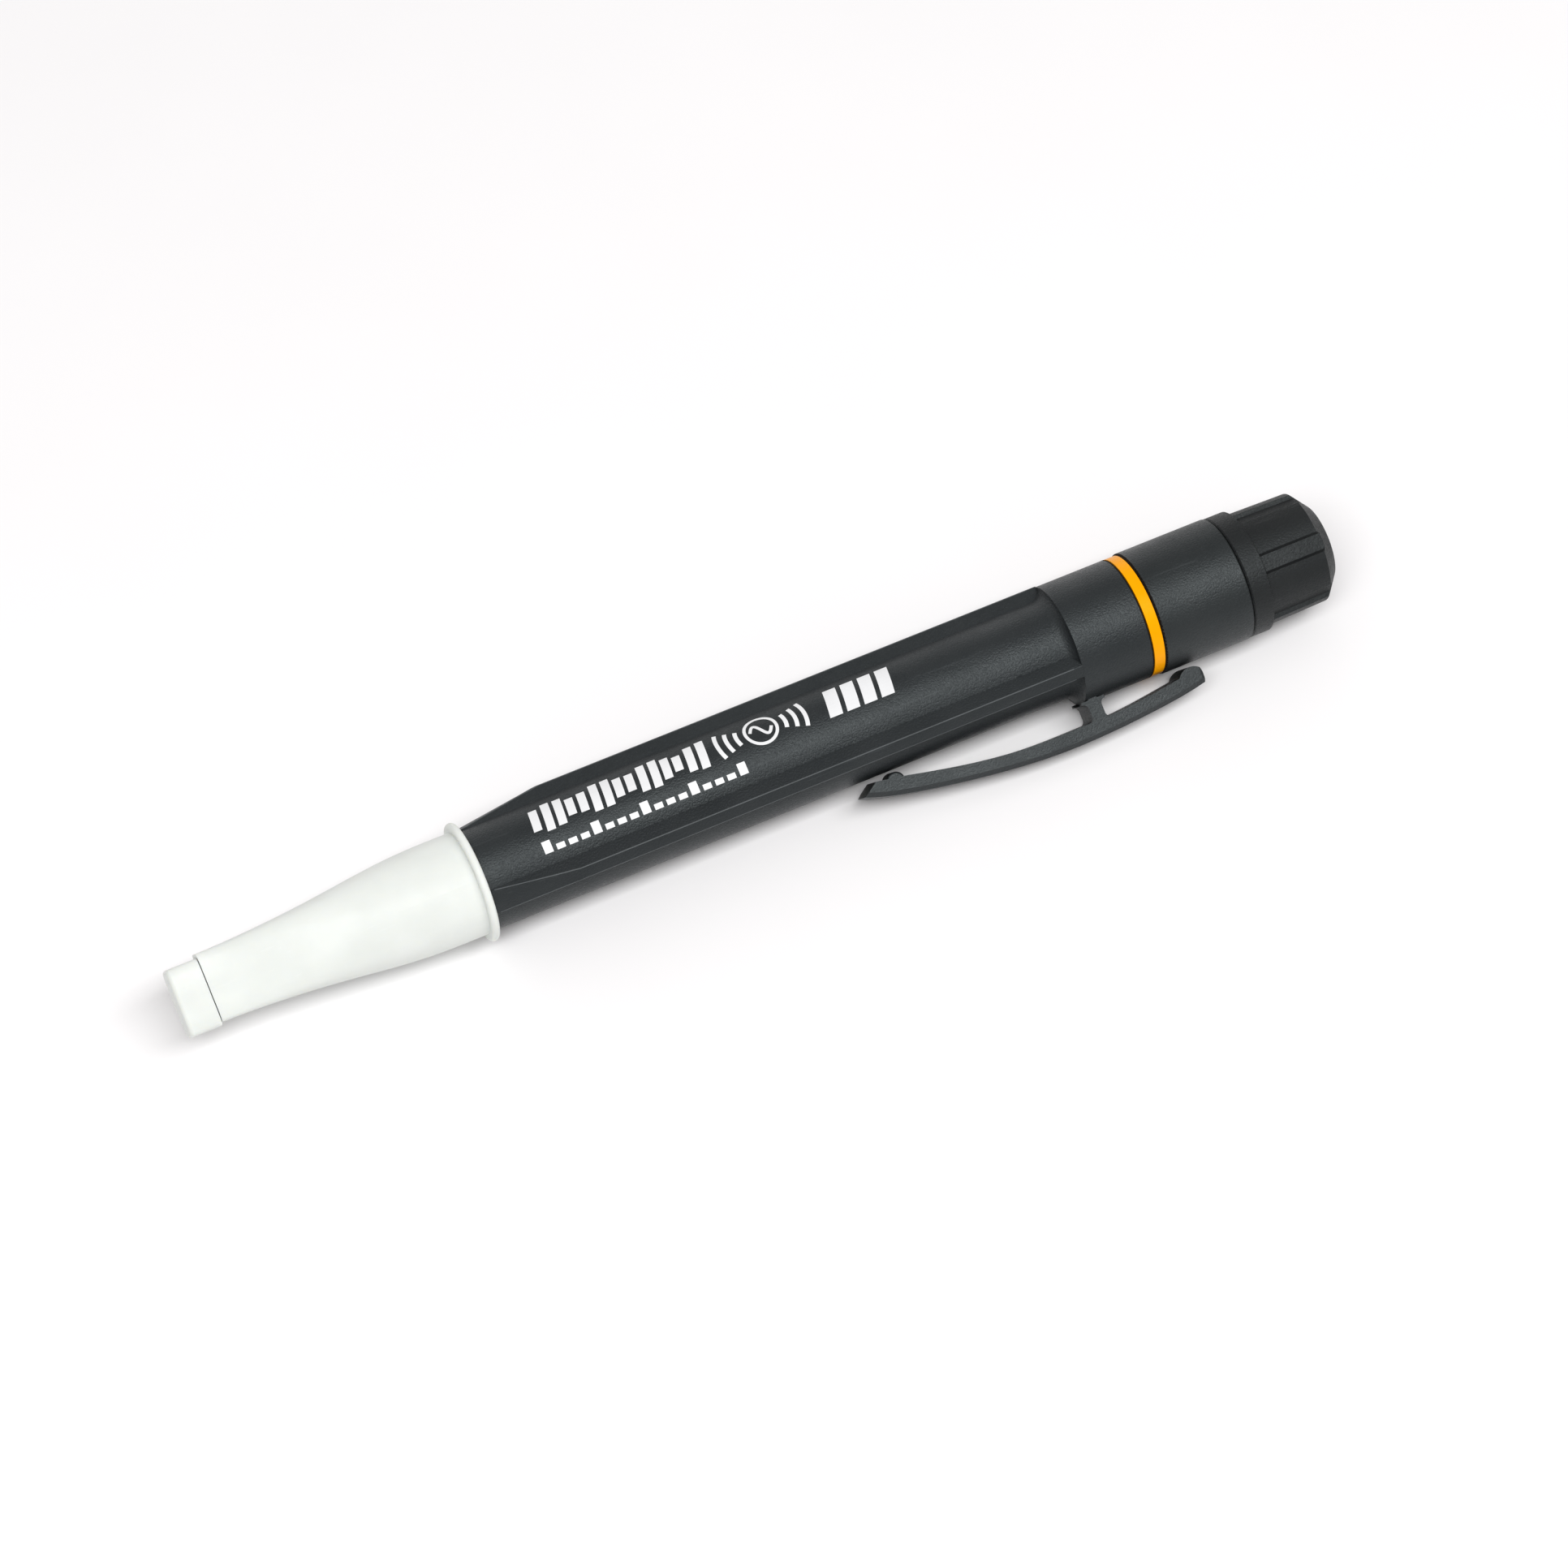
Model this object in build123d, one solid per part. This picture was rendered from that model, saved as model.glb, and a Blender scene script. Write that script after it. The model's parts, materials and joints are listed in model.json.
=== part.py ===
"""Pen-shaped non contact voltage tester with a pocket clip and a screw-on end cap.

Every piece is drawn round the tool axis: +X runs from the sensing tip to the end cap, and +Z is the side
that the clip is on. The pieces are then rolled together, so that the tool lies as it rests on a table,
and moved so that the origin is the bottom centre of the whole tool. Millimetres and degrees.
"""
from build123d import *
import math
import os

os.makedirs("parts", exist_ok=True)

# ---- sizes that can be set by themselves --------------------------------------------------------------
# cells (two of the same standard size, nose to tail)
cell_radius = 5.25
cell_length = 44.5
cell_button_radius = 1.9
cell_button_length = 1.1
cell_wall = 0.25
cell_jacket_wall = 0.1
cell_clearance = 0.2
cell_gap = 0.06

# nose
tip_block_length = 4.25
tip_block_inset = 0.08
tip_block_shift = 0.47
seam_gap = 0.13
blade_start_width = 9.22
blade_start_thickness = 5.2
neck_start = 32.2
neck_step = 0.13
nose_wall = 1.2
nose_edge_round = 0.45
nose_plug_length = 3.2
collar_start = 40.15
collar_length = 1.05
collar_rise = 1.25
nose_spigot_length = 6.2
nose_spigot_rise = 0.45
nose_spigot_wall = 1.0
snap_bead_height = 0.12
snap_bead_setback = 1.4
snap_bead_length = 1.1

# barrel
barrel_wall = 1.35
rib_height = 1.55
rib_front_rise = 0.1
rib_flare_angle = 7.1
rib_flat_depth = 1.95
rib_count = 3
rib_edge_round = 0.2
recess_end_blend = 1.45
shoulder_height = 1.45
shoulder_length = 9.9
barrel_spigot_wall = 1.55
barrel_spigot_length = 7.02
joint_clearance = 0.05

# ring, sleeve and end cap
ring_width = 1.8
ring_gap = 0.15
sleeve_step = 0.17
sleeve_length = 12.9
cap_gap = 0.12
flange_step = 0.09
flange_length = 2.75
flange_taper = 0.25
grip_step = 0.58
grip_taper = 0.2
grip_length = 8.5
end_chamfer_length = 1.95
end_chamfer_depth = 2.35
flute_count = 6
flute_opening = 3.0
flute_floor = 2.1
flute_depth = 0.6
cap_bore_length = 6.3
thread_pitch = 1.5
thread_turns = 3
thread_height = 0.45
thread_root_width = 0.9
thread_crest_width = 0.4
thread_clearance = 0.14

# pocket clip
clip_width = 5.2
clip_outer_bevel = 0.6
clip_thickness = 2.25
clip_arm_length = 28.2
clip_rise = 4.84
clip_post_thickness = 1.85
clip_post_flare = 0.7
clip_foot_gap = 0.1
clip_bump_gap = 0.45
clip_bump_radius = 2.1
clip_nub_gap = 0.28
clip_nub_radius = 1.3
clip_nub_width = 3.2
clip_neck_thickness = 1.2
knuckle_radius = 0.9
knuckle_wall = 0.5
hinge_clearance = 0.08
neck_slot_clearance = 0.12

# electrics
board_length = 24.0
board_thickness = 0.8
sheet_metal = 0.3
strip_width = 3.0
strip_clearance = 0.12
spring_wire_radius = 0.3
spring_front_radius = 3.1
spring_turns = 4.5
nose_seal_section_radius = 0.35

# ---- radii that follow from them, from the cells outwards -----------------------------------------------
bore_radius = cell_radius + cell_clearance
recess_radius = bore_radius + barrel_wall
rib_radius = recess_radius + rib_height
rib_front_radius = recess_radius + rib_front_rise
rib_flat_distance = recess_radius - rib_flat_depth
shoulder_radius = recess_radius + shoulder_height
neck_radius = recess_radius
neck_end_radius = neck_radius + neck_step
collar_radius = recess_radius + collar_rise
nose_spigot_radius = bore_radius + nose_spigot_rise
nose_spigot_inner = nose_spigot_radius - joint_clearance - nose_spigot_wall
nose_seal_radius = nose_spigot_radius - nose_seal_section_radius - 0.02
barrel_spigot_radius = bore_radius + barrel_spigot_wall
sleeve_bore_radius = barrel_spigot_radius + joint_clearance
sleeve_radius = shoulder_radius + sleeve_step
flange_radius = sleeve_radius - flange_step
grip_radius = flange_radius - grip_step
grip_end_radius = grip_radius - grip_taper
end_face_radius = grip_end_radius - end_chamfer_depth
thread_core_radius = barrel_spigot_radius - 3 * joint_clearance
seal_bore_radius = thread_core_radius + thread_height + thread_clearance
cap_neck_radius = thread_core_radius - 0.25
cap_seal_radius = (seal_bore_radius + cap_neck_radius) / 2
cap_seal_section_radius = (seal_bore_radius - cap_neck_radius) / 2 - joint_clearance
cup_radius = thread_core_radius - 1.0
spring_back_radius = cup_radius - joint_clearance - sheet_metal - spring_wire_radius - 0.6
knuckle_depth = bore_radius + knuckle_wall + knuckle_radius
board_width = 2 * (nose_spigot_inner - 0.85)

# ---- places along the tool that follow from them, from the tip ------------------------------------------
blade_start = tip_block_length + seam_gap
collar_end = collar_start + collar_length
nose_seal_x = collar_end + 1.6
nose_end = collar_end + nose_spigot_length
front_socket_end = nose_end + 0.15
carrier_start = front_socket_end + 1.0
carrier_length = 2.0
front_contact_start = carrier_start + carrier_length
front_cell_start = front_contact_start + sheet_metal + cell_gap
rear_cell_start = front_cell_start + cell_length + cell_gap
cells_end = rear_cell_start + cell_length

barrel_spigot_end = cells_end + 0.85
shoulder_end = barrel_spigot_end - barrel_spigot_length
recess_end = shoulder_end - shoulder_length
sleeve_start = shoulder_end + ring_width
sleeve_end = sleeve_start + sleeve_length
cap_spigot_start = barrel_spigot_end + 2 * sheet_metal + 0.15
cup_floor_start = cap_spigot_start + cap_bore_length - sheet_metal
thread_start = cap_spigot_start + 0.5
thread_end = thread_start + thread_turns * thread_pitch
flange_start = sleeve_end + cap_gap
cap_seal_x = flange_start - cap_seal_section_radius - 0.3
grip_start = flange_start + flange_length + flange_taper
grip_end = grip_start + grip_length
tool_length = grip_end + end_chamfer_length

# ---- clip places, as distances from the tip and from the tool axis --------------------------------------
clip_peak = shoulder_radius + clip_rise
clip_inner_peak = clip_peak - clip_thickness
nub_bottom = recess_radius + clip_nub_gap
bump_bottom = sleeve_radius + clip_bump_gap
clip_pivot_x = recess_end + 0.15 + clip_post_thickness / 2
nub_x = clip_pivot_x - clip_arm_length
bump_x = sleeve_start + 3.05
clip_front_x = nub_x - 4.8
clip_peak_x = nub_x + 23.8
clip_tail_x = bump_x + 1.65

# The clip's beveled edge and the widest round of the tool both touch the table, which sets the roll.
axis_height = max(sleeve_radius, rib_radius, shoulder_radius, collar_radius)
edge_depth = clip_peak - clip_outer_bevel
edge_reach = math.hypot(edge_depth, clip_width / 2)
clip_drop = math.degrees(math.asin(axis_height / edge_reach) - math.asin(clip_width / 2 / edge_reach))
face_corner = clip_width / 2 - clip_outer_bevel
clip_side = max(
    clip_peak * math.cos(math.radians(clip_drop)) + face_corner * math.sin(math.radians(clip_drop)),
    edge_depth * math.cos(math.radians(clip_drop)) + clip_width / 2 * math.sin(math.radians(clip_drop)),
)
placing = Pos(-tool_length / 2, (clip_side - axis_height) / 2, axis_height) * Rot(90 + clip_drop, 0, 0)

pieces = {}


def add(name, shape):
    """Keep a piece under its node name, moved from the tool axis to its place on the table."""
    pieces[name] = placing * shape


# ---- shapes used more than once -----------------------------------------------------------------------
def turned(*points):
    """Solid of revolution about the tool axis, from (along, radius) points."""
    return revolve(Plane.XZ * make_face(Polyline(*points, close=True)), Axis.X)


def tube(start, end, outer, inner=0.0):
    """Round tube, or a plain round bar where there is no inner radius."""
    return turned((start, inner), (end, inner), (end, outer), (start, outer))


def block(x_span, y_span, z_span):
    """Box between three pairs of limits."""
    size = [high - low for low, high in (x_span, y_span, z_span)]
    middle = [(high + low) / 2 for low, high in (x_span, y_span, z_span)]
    return Pos(*middle) * Box(*size)


def seal_ring(along, radius, section):
    """O-ring round the tool axis."""
    return revolve(Plane.XZ * (Pos(along, radius) * Circle(section)), Axis.X)


def squircle(along, half_width, half_thickness, power):
    """Closed section across the tool, from a rounded oblong at high power to a circle at power 2."""
    points = []
    for step in range(40):
        turn = 2 * math.pi * step / 40
        across = math.copysign(abs(math.cos(turn)) ** (2 / power), math.cos(turn)) * half_thickness
        up = math.copysign(abs(math.sin(turn)) ** (2 / power), math.sin(turn)) * half_width
        points.append((along, across, up))
    return Face(Wire(Spline(*points, periodic=True)))


# ---- nose ---------------------------------------------------------------------------------------------
# rows of the blade: share of the way to the neck, share of the growth in width and in thickness, and power
BLADE_ROWS = (
    (0.0, 0.0, 0.0, 6.0),
    (0.12, 0.02, 0.02, 5.6),
    (0.32, 0.15, 0.24, 4.2),
    (0.55, 0.40, 0.56, 3.0),
    (0.78, 0.74, 0.86, 2.3),
    (1.0, 1.0, 1.0, 2.0),
)


def blade(inset, end):
    """Lofted blade that grows into the round neck and goes on to the end, drawn in by the inset."""
    sections = []
    for share, wide, thick, power in BLADE_ROWS:
        along = blade_start + share * (neck_start - blade_start)
        half_width = blade_start_width / 2 + wide * (neck_radius - blade_start_width / 2) - inset
        half_thick = blade_start_thickness / 2 + thick * (neck_radius - blade_start_thickness / 2) - inset
        sections.append(squircle(along, half_width, half_thick, power))
    sections.append(squircle(end, neck_end_radius - inset, neck_end_radius - inset, 2.0))
    return loft(sections)


def nose_shell():
    """Hollow blade, neck, collar and the spigot that goes into the barrel."""
    blade_end = collar_start + collar_length / 3
    spigot_outer = nose_spigot_radius - joint_clearance
    snap_start = nose_end - snap_bead_setback
    snap_ramp = snap_bead_length / 3
    snap_end = snap_start + snap_bead_length
    snap_radius = nose_spigot_radius + snap_bead_height
    body = blade(0, blade_end)
    body += turned(
        (blade_end, 0), (blade_end, spigot_outer), (snap_start, spigot_outer),
        (snap_start + snap_ramp, snap_radius), (snap_end - snap_ramp, snap_radius), (snap_end, spigot_outer),
        (nose_end, spigot_outer), (nose_end, 0),
    )
    rim_depth = collar_radius - nose_spigot_radius + 1
    rim = Pos(collar_start + collar_length / 2, collar_radius - rim_depth / 2)
    rim *= Rectangle(collar_length, rim_depth)
    rim = fillet(rim.vertices().group_by(Axis.Y)[-1], collar_length * 0.45)
    body += revolve(Plane.XZ * rim, Axis.X)
    groove_half = nose_seal_section_radius + joint_clearance
    groove_floor = nose_seal_radius - groove_half
    body -= tube(nose_seal_x - groove_half, nose_seal_x + groove_half, nose_spigot_radius, groove_floor)
    body -= blade(nose_wall, blade_end)
    body -= turned(
        (blade_end - 0.1, 0), (blade_end - 0.1, neck_end_radius - nose_wall - 0.05),
        (collar_end, nose_spigot_inner), (nose_end + 1, nose_spigot_inner), (nose_end + 1, 0),
    )
    return body


def nose_end_cap():
    """Block that closes the blade, with a plug that goes inside it."""
    half_width = blade_start_width / 2 - tip_block_inset
    half_thick = blade_start_thickness / 2 - tip_block_inset
    eased = nose_edge_round * 0.3
    full_section = squircle(nose_edge_round, half_width, half_thick, 6.0)
    block_body = loft([
        squircle(0, half_width - nose_edge_round, half_thick - nose_edge_round, 5.0),
        squircle(eased, half_width - eased, half_thick - eased, 5.6),
        full_section,
    ])
    block_body += extrude(full_section, tip_block_length - nose_edge_round, dir=(1, 0, 0))
    plug_half_width = half_width - nose_wall - 0.3
    plug_half_thick = half_thick - nose_wall - 0.1
    plug_section = squircle(tip_block_length, plug_half_width, plug_half_thick, 4.0)
    return Pos(0, 0, tip_block_shift) * block_body + extrude(plug_section, nose_plug_length, dir=(1, 0, 0))


# ---- barrel -------------------------------------------------------------------------------------------
def barrel():
    """Three-lobed grip that runs out into a round shoulder, with the bore for the cells."""
    flare_end = collar_end + (rib_radius - rib_front_radius) / math.tan(math.radians(rib_flare_angle))
    barrel_front = collar_end + joint_clearance
    lobes = turned(
        (barrel_front, 0), (barrel_front, rib_front_radius), (flare_end, rib_radius),
        (recess_end, rib_radius), (recess_end, 0),
    )
    prism = extrude(Plane.YZ * RegularPolygon(2 * rib_flat_distance, rib_count, rotation=-90), recess_end)
    ribs = lobes & prism
    long_edges = ribs.edges().filter_by(Axis.X).group_by(lambda e: -e.length)[0]
    body = fillet(long_edges, rib_edge_round) + tube(barrel_front, recess_end, recess_radius)
    blend_start = recess_end - recess_end_blend
    blend = Line((blend_start, 0), (blend_start, recess_radius))
    blend += RadiusArc((blend_start, recess_radius), (recess_end, shoulder_radius), -recess_end_blend * 1.2)
    blend += Polyline((recess_end, shoulder_radius), (shoulder_end, shoulder_radius), (shoulder_end, 0),
                      (blend_start, 0))
    body += revolve(Plane.XZ * make_face(blend), Axis.X)
    body += tube(shoulder_end, barrel_spigot_end, barrel_spigot_radius)
    body -= tube(barrel_front - 1, front_socket_end, nose_spigot_radius)
    snap_start = nose_end - snap_bead_setback - joint_clearance
    snap_end = snap_start + snap_bead_length + 2 * joint_clearance
    body -= tube(snap_start, snap_end, nose_spigot_radius + snap_bead_height + joint_clearance)
    body -= tube(front_socket_end - 0.01, barrel_spigot_end + 1, bore_radius)
    body -= block(
        (front_socket_end - 0.4, barrel_spigot_end + 1),
        (-strip_width / 2 - strip_clearance, strip_width / 2 + strip_clearance),
        (-bore_radius - sheet_metal - 2 * strip_clearance, -bore_radius + 0.5),
    )
    return body - clip_socket()


def clip_socket():
    """Space in the barrel's wall for the clip's knuckle and neck."""
    half = clip_width / 2 + hinge_clearance
    pivot = Pos(clip_pivot_x, 0, knuckle_depth)
    knuckle = pivot * Rot(90, 0, 0) * Cylinder(knuckle_radius + hinge_clearance, 2 * half)
    slot_half = clip_neck_thickness / 2 + neck_slot_clearance
    slot = block((clip_pivot_x - slot_half, clip_pivot_x + slot_half), (-half, half),
                 (knuckle_depth, shoulder_radius + 1))
    return knuckle + slot


# ---- pocket clip --------------------------------------------------------------------------------------
def clip_profile():
    """Side outline of the clip's bar, from its sloped front end to the bump at its back."""
    front = (clip_front_x, nub_bottom + 1.7)
    front_inner = (nub_x - 2.8, nub_bottom + 0.32)
    peak = (clip_peak_x, clip_peak)
    tail_top = (clip_tail_x - 0.15, clip_peak - 1.64)
    tail_low = (clip_tail_x, bump_bottom + 1.3)
    bump_run = 1.75
    bump_rise = clip_bump_radius - math.sqrt(clip_bump_radius ** 2 - bump_run ** 2)
    back_run = 1.4
    back_rise = clip_bump_radius - math.sqrt(clip_bump_radius ** 2 - back_run ** 2)
    bump_front = (bump_x - bump_run, bump_bottom + bump_rise)
    bump_back = (bump_x + back_run, bump_bottom + back_rise)
    under_post = (clip_pivot_x, clip_inner_peak)
    under_peak = (nub_x + 18.2, clip_inner_peak - 0.1)
    outline = Spline(front, (nub_x + 2.7, clip_peak - 2.34), (nub_x + 13.4, clip_peak - 0.7), peak,
                     tangents=((1, 0.4), (1, 0)))
    outline += Spline(peak, (clip_peak_x + 11.8, clip_peak - 0.57), tail_top, tangents=((1, 0), (1, -0.22)))
    outline += Polyline(tail_top, tail_low, bump_back)
    outline += ThreePointArc(bump_back, (bump_x, bump_bottom), bump_front)
    outline += Spline(bump_front, under_post, tangents=((-1, 0.12), (-1, 0)))
    under_arm = (nub_x + 9.4, clip_inner_peak - 1.1)
    under_nub = (nub_x + 1.4, nub_bottom + 1.05)
    outline += Spline(under_post, under_peak, under_arm, under_nub, tangents=((-1, 0), (-1, -0.22)))
    outline += Polyline(under_nub, front_inner, front)
    return make_face(outline)


def post_profile():
    """Side outline of the post, which flares into the bar above it and into its foot below."""
    side = clip_post_thickness / 2
    wide = side + clip_post_flare
    bend = clip_post_flare * (1 - math.sqrt(0.5))
    top = clip_inner_peak + 0.05
    low = shoulder_radius + clip_foot_gap
    outline = Polyline((wide, top), (wide, top + 0.5), (-wide, top + 0.5), (-wide, top))
    outline += ThreePointArc((-wide, top), (-side - bend, top - bend), (-side, top - clip_post_flare))
    outline += Line((-side, top - clip_post_flare), (-side, low + clip_post_flare))
    outline += ThreePointArc((-side, low + clip_post_flare), (-side - bend, low + bend), (-wide, low))
    outline += Polyline((-wide, low), (-wide, low - 1), (wide, low - 1), (wide, low))
    outline += ThreePointArc((wide, low), (side + bend, low + bend), (side, low + clip_post_flare))
    outline += Line((side, low + clip_post_flare), (side, top - clip_post_flare))
    outline += ThreePointArc((side, top - clip_post_flare), (side + bend, top - bend), (wide, top))
    return Pos(clip_pivot_x, 0) * make_face(outline)


def pocket_clip():
    """Arched clip with beveled outer edges, its nub, post, neck and round knuckle."""
    half = clip_width / 2
    post_half = half - 0.15
    bar = extrude(Plane.XZ * clip_profile(), half, both=True)
    outer = bar.edges().filter_by(
        lambda e: abs(abs(e.center().Y) - half) < 1e-3 and e.center().Z > clip_inner_peak and e.length > 8
    )
    bar = chamfer(outer, clip_outer_bevel)
    plan = Rectangle(clip_tail_x - clip_front_x, clip_width)
    plan = Pos((clip_tail_x + clip_front_x) / 2, 0) * fillet(plan.vertices(), 0.5)
    bar &= extrude(plan, 20)
    nub = Pos(nub_x, 0, nub_bottom + clip_nub_radius) * Rot(90, 0, 0)
    nub *= Cylinder(clip_nub_radius, clip_nub_width)
    nub = fillet(nub.edges(), 0.35)
    post = extrude(Plane.XZ * post_profile(), post_half, both=True)
    post -= tube(clip_pivot_x - 5, clip_pivot_x + 5, shoulder_radius + clip_foot_gap)
    neck = block((clip_pivot_x - clip_neck_thickness / 2, clip_pivot_x + clip_neck_thickness / 2),
                 (-post_half, post_half), (knuckle_depth, shoulder_radius + 0.5))
    knuckle = Pos(clip_pivot_x, 0, knuckle_depth) * Rot(90, 0, 0) * Cylinder(knuckle_radius, clip_width)
    return bar + nub + post + neck + knuckle


# ---- ring, sleeve and end cap -------------------------------------------------------------------------
def screw_thread(start, turns, foot_radius, crest_radius, foot_width, crest_width):
    """Helical ridge round the tool axis, with its foot sunk a little into the wall that it stands on."""
    rise = crest_radius - foot_radius
    sunk = -math.copysign(0.12, rise)
    half_foot = foot_width / 2 + (foot_width - crest_width) / 2 * abs(sunk / rise)
    path = Helix(thread_pitch, turns * thread_pitch, foot_radius)
    section = Plane.XZ * make_face(Polyline(
        (foot_radius + sunk, -half_foot), (crest_radius, -crest_width / 2),
        (crest_radius, crest_width / 2), (foot_radius + sunk, half_foot), close=True,
    ))
    ridge = sweep(section, path, is_frenet=True)
    return Pos(start, 0, 0) * Rot(0, 90, 0) * ridge


def rear_sleeve():
    """Sleeve that holds the ring, with the thread that the end cap screws into."""
    edge = 0.2
    body = turned(
        (sleeve_start, sleeve_bore_radius), (sleeve_start, sleeve_radius - edge),
        (sleeve_start + edge, sleeve_radius), (sleeve_end - edge, sleeve_radius),
        (sleeve_end, sleeve_radius - edge), (sleeve_end, seal_bore_radius),
        (cap_spigot_start - 0.35, seal_bore_radius), (cap_spigot_start - 0.35, sleeve_bore_radius),
    )
    slope = (thread_root_width - thread_crest_width) / thread_height
    crest_radius = thread_core_radius + thread_clearance
    crest_width = thread_pitch - thread_root_width + slope * thread_clearance - 2 * thread_clearance
    foot_width = crest_width + slope * (seal_bore_radius - crest_radius)
    return body + screw_thread(
        thread_start - thread_pitch / 2, thread_turns, seal_bore_radius, crest_radius, foot_width, crest_width
    )


def end_cap():
    """Screw cap: fluted grip, smooth flange and a hollow threaded spigot."""
    edge = 0.2
    body = turned(
        (cap_spigot_start, cup_radius), (cap_spigot_start, thread_core_radius),
        (thread_end + 0.5, thread_core_radius), (thread_end + 0.5, cap_neck_radius),
        (flange_start, cap_neck_radius), (flange_start, flange_radius - edge),
        (flange_start + edge, flange_radius), (flange_start + flange_length, flange_radius),
        (grip_start, grip_radius), (grip_end, grip_end_radius), (tool_length, end_face_radius),
        (tool_length, 0), (cup_floor_start + sheet_metal, 0), (cup_floor_start + sheet_metal, cup_radius),
    )
    floor = grip_radius - flute_depth
    wall_slope = (flute_opening - flute_floor) / 2 / flute_depth
    lift = flute_depth + 1
    half_top = flute_floor / 2 + wall_slope * lift
    foot = Plane((grip_start, 0, 0), x_dir=(0, 1, 0), z_dir=(1, 0, 0)) * make_face(Polyline(
        (-flute_floor / 2, floor), (flute_floor / 2, floor),
        (half_top, floor + lift), (-half_top, floor + lift), close=True,
    ))
    along_grip = (grip_length, 0, grip_end_radius - grip_radius)
    cutter = extrude(foot, grip_length + end_chamfer_length + 1, dir=along_grip)
    for number in range(flute_count):
        body -= Rot(360 / flute_count * (number + 0.5), 0, 0) * cutter
    return body + screw_thread(
        thread_start, thread_turns, thread_core_radius, thread_core_radius + thread_height,
        thread_root_width, thread_crest_width,
    )


# ---- electrics ----------------------------------------------------------------------------------------
board_end = nose_end - 0.25
board_start = board_end - board_length
board_half = board_thickness / 2
led_radius = 1.5
led_start = board_start + 1.0
led_length = 4.2
led_height = board_half + 2.1
chip_size = (4.9, 3.9, 1.4)
chip_start = board_start + 9.6
pad_lift = 0.04


def indicator_led():
    """Lamp with a domed front and a flange at its back."""
    dome = Pos(led_start + led_radius, led_height, 0) * Sphere(led_radius)
    stem = Rot(0, 90, 0) * Cylinder(led_radius, led_length - led_radius)
    stem = Pos((led_start + led_radius + led_start + led_length) / 2, led_height, 0) * stem
    rim = Pos(led_start + led_length - 0.4, led_height, 0) * Rot(0, 90, 0) * Cylinder(led_radius + 0.25, 0.8)
    return dome + stem + rim


def led_leads():
    """Two bent wires from the lamp to the board."""
    legs = []
    for side in (-1, 1):
        middle = side * 0.64
        rise = (board_half + pad_lift, led_height + 0.2)
        run = block((led_start + led_length, led_start + led_length + 1.8), (led_height - 0.2, rise[1]),
                    (middle - 0.2, middle + 0.2))
        drop = block((led_start + led_length + 1.4, led_start + led_length + 1.8), rise,
                     (middle - 0.2, middle + 0.2))
        legs.append(run + drop)
    return Compound(legs)


def sensing_chip_leads():
    """Eight gull-wing leads, four on each side of the chip."""
    legs = []
    for side in (-1, 1):
        for number in range(4):
            along = chip_start + 0.55 + 1.27 * number
            span = (along - 0.2, along + 0.2)
            near, far = chip_size[1] / 2, chip_size[1] / 2 + 1.0
            wing = block(span, (board_half + 0.7, board_half + 0.9),
                         sorted((side * near, side * (near + 0.5))))
            fall = block(span, (board_half + pad_lift, board_half + 0.9),
                         sorted((side * (near + 0.3), side * (near + 0.5))))
            foot = block(span, (board_half + pad_lift, board_half + 0.24),
                         sorted((side * (near + 0.3), side * far)))
            legs.append(wing + fall + foot)
    return Compound(legs)


def small_blocks(places, length, width, height):
    """Group of small board parts on the far face of the board, at (along, up) places."""
    top = -board_half - pad_lift
    return Compound([
        block((board_start + along, board_start + along + length), (top - height, top), (up, up + width))
        for along, up in places
    ])


def board_carrier():
    """Disc that closes the bore ahead of the cells, with a forked finger that holds the board."""
    body = tube(carrier_start, carrier_start + carrier_length, bore_radius - joint_clearance)
    finger_top = board_width / 2 + 0.55
    body += block((nose_end - 4.0, carrier_start + 0.1), (-1.2, 1.2), (board_width / 2 - 1.0, finger_top))
    fork_half = board_half + joint_clearance
    body -= block((nose_end - 5.0, board_end + joint_clearance), (-fork_half, fork_half),
                  (0, board_width / 2 + joint_clearance))
    tab_half = sheet_metal / 2 + 0.1
    tab_middle = -board_half - pad_lift - sheet_metal / 2
    return body - block((carrier_start - 1, front_contact_start + 1),
                        (tab_middle - tab_half, tab_middle + tab_half), (-1.1, 1.1))


def front_contact():
    """Plate that meets the front cell's button, with a tab along the board."""
    plate = tube(front_contact_start, front_contact_start + sheet_metal, 2.6)
    back = -board_half - pad_lift
    return plate + block((board_end - 2.2, front_contact_start + 0.1), (back - sheet_metal, back), (-1, 1))


def contact_strip():
    """Strip along the bore, with a tab on the board in front and a tab over the barrel's end behind."""
    low = -bore_radius - sheet_metal - strip_clearance
    high = low + sheet_metal
    half = strip_width / 2
    front = front_socket_end + 0.1
    face = board_half + pad_lift
    lap_low = -board_width / 2 + 0.3
    lap_high = lap_low + half
    run = block((front, barrel_spigot_end + sheet_metal), (-half, half), (low, high))
    turn = block((front, front + sheet_metal), (-half, half), (low, lap_high))
    lap = block((board_end - 1.8, front + 0.1), (face, face + sheet_metal), (lap_low, lap_high))
    hook = block((barrel_spigot_end, barrel_spigot_end + sheet_metal), (-half, half),
                 (-barrel_spigot_radius + 0.5, high))
    return run + turn + lap + hook


def rear_contact_cup():
    """Stamped cup in the end cap's spigot, whose rim meets the strip's hook."""
    outer = cup_radius - joint_clearance
    inner = outer - sheet_metal
    front = cap_spigot_start - sheet_metal
    floor = cup_floor_start - joint_clearance
    back = floor + sheet_metal
    rim = thread_core_radius - 0.1
    return turned(
        (front, inner), (front, rim), (cap_spigot_start, rim), (cap_spigot_start, outer),
        (back, outer), (back, 0), (floor, 0), (floor, inner),
    )


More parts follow.
